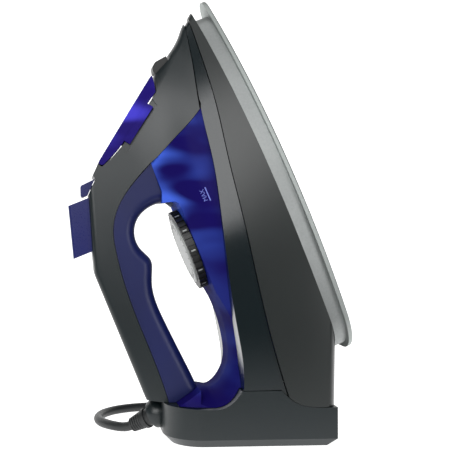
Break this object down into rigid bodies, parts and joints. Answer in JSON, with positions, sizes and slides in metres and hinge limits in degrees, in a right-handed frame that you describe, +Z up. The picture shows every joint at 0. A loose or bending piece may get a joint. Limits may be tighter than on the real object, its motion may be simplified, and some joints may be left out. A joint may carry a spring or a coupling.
{
  "type": "clothes iron",
  "caption": "Corded steam iron standing on its heel, with a translucent water tank, hinged filler door, push buttons, steam slider and temperature dial.",
  "frame": {"origin": "under the middle of the iron, without its cord, on the surface that it stands on", "axes": "+Z up as the iron stands on its heel, +X out of the sole side, Y across the iron"},
  "size_m": [0.2122, 0.2642, 0.2919],
  "materials": {
    "sole_metal": "satin",
    "cast_aluminium": "cast",
    "element_steel": "brushed",
    "black_satin": "satin",
    "black_gloss": "gloss",
    "heel_plastic": "satin",
    "tank_blue": "translucent gloss",
    "door_violet": "translucent gloss",
    "grip_navy": "soft satin",
    "button_blue": "semi gloss",
    "dial_black": "satin",
    "dial_grey": "satin",
    "inner_white": "satin",
    "clear_tube": "soft",
    "cord_black": "matt",
    "pin_brass": "plated"
  },
  "bodies": {
    "iron": {"body_band": "black_gloss", "coil_tie": "cord_black", "cord_clamp": "inner_white", "cord_coil": "cord_black", "cord_lead": "cord_black", "cord_tail": "cord_black", "dial_marker": "dial_grey", "door_pin": "element_steel", "filler_neck": "tank_blue", "handle_grip": "grip_navy", "handle_shell": "black_satin", "heater_casting": "cast_aluminium", "heating_element": "element_steel", "heel_cover": "heel_plastic", "heel_screws": "element_steel", "inner_cord": "cord_black", "lower_skirt": "black_satin", "mains_plug": "cord_black", "plug_pins": "pin_brass", "soleplate": "sole_metal", "spray_hose": "clear_tube", "spray_nozzle": "dial_black", "spray_pump": "inner_white", "spray_spring": "element_steel", "spray_suction_tube": "clear_tube", "steam_chamber_cover": "element_steel", "steam_feed_tube": "clear_tube", "steam_pump": "inner_white", "steam_spring": "element_steel", "terminal_block": "inner_white", "thermal_fuse": "element_steel", "thermostat": "element_steel", "valve_seat": "inner_white", "water_tank": "tank_blue"},
    "filler_door": {"fill_door": "door_violet", "door_seal": "clear_tube"},
    "dial": {"temperature_dial": "dial_black", "dial_face": "dial_grey", "dial_shaft": "element_steel"},
    "spray_press": {"spray_button": "button_blue", "spray_piston": "inner_white"},
    "steam_press": {"steam_button": "button_blue", "steam_piston": "inner_white"},
    "slider": {"steam_slider": "button_blue"},
    "dosing_rod": {"valve_rod": "element_steel"},
    "bush": {"cord_bush": "cord_black", "cord_guard": "cord_black"}
  },
  "joints": [
    {"name": "door_hinge", "type": "hinge", "parent": "iron", "child": "filler_door", "pos_m": [-0.07131, 0, 0.18213], "axis": [0, -1, 0], "range_deg": [0, 95]},
    {"name": "dial_turn", "type": "hinge", "parent": "iron", "child": "dial", "pos_m": [-0.01304, 0, 0.12525], "axis": [-0.9255, 0, -0.3786], "range_deg": [-135, 135]},
    {"name": "spray_push", "type": "slide", "parent": "iron", "child": "spray_press", "axis": [0.9255, 0, 0.3786], "range_m": [0, 0.0045], "stiffness_N_per_m": 600, "springref_m": -0.002, "deforming": ["spray_spring"]},
    {"name": "steam_push", "type": "slide", "parent": "iron", "child": "steam_press", "axis": [0.9255, 0, 0.3786], "range_m": [0, 0.0045], "stiffness_N_per_m": 600, "springref_m": -0.002, "deforming": ["steam_spring"]},
    {"name": "steam_slide", "type": "slide", "parent": "iron", "child": "slider", "axis": [0, 1, 0], "range_m": [0, 0.008]},
    {"name": "valve_lift", "type": "slide", "parent": "iron", "child": "dosing_rod", "axis": [-0.9255, 0, -0.3786], "range_m": [0, 0.0024]},
    {"name": "bush_swivel", "type": "hinge", "parent": "iron", "child": "bush", "pos_m": [-0.034, 0, 0.0157], "axis": [-0.7696, 0.4443, -0.4586], "continuous": true}
  ],
  "couplings": [
    {"joint": "valve_lift", "follows": "steam_slide", "ratio": 0.3}
  ]
}
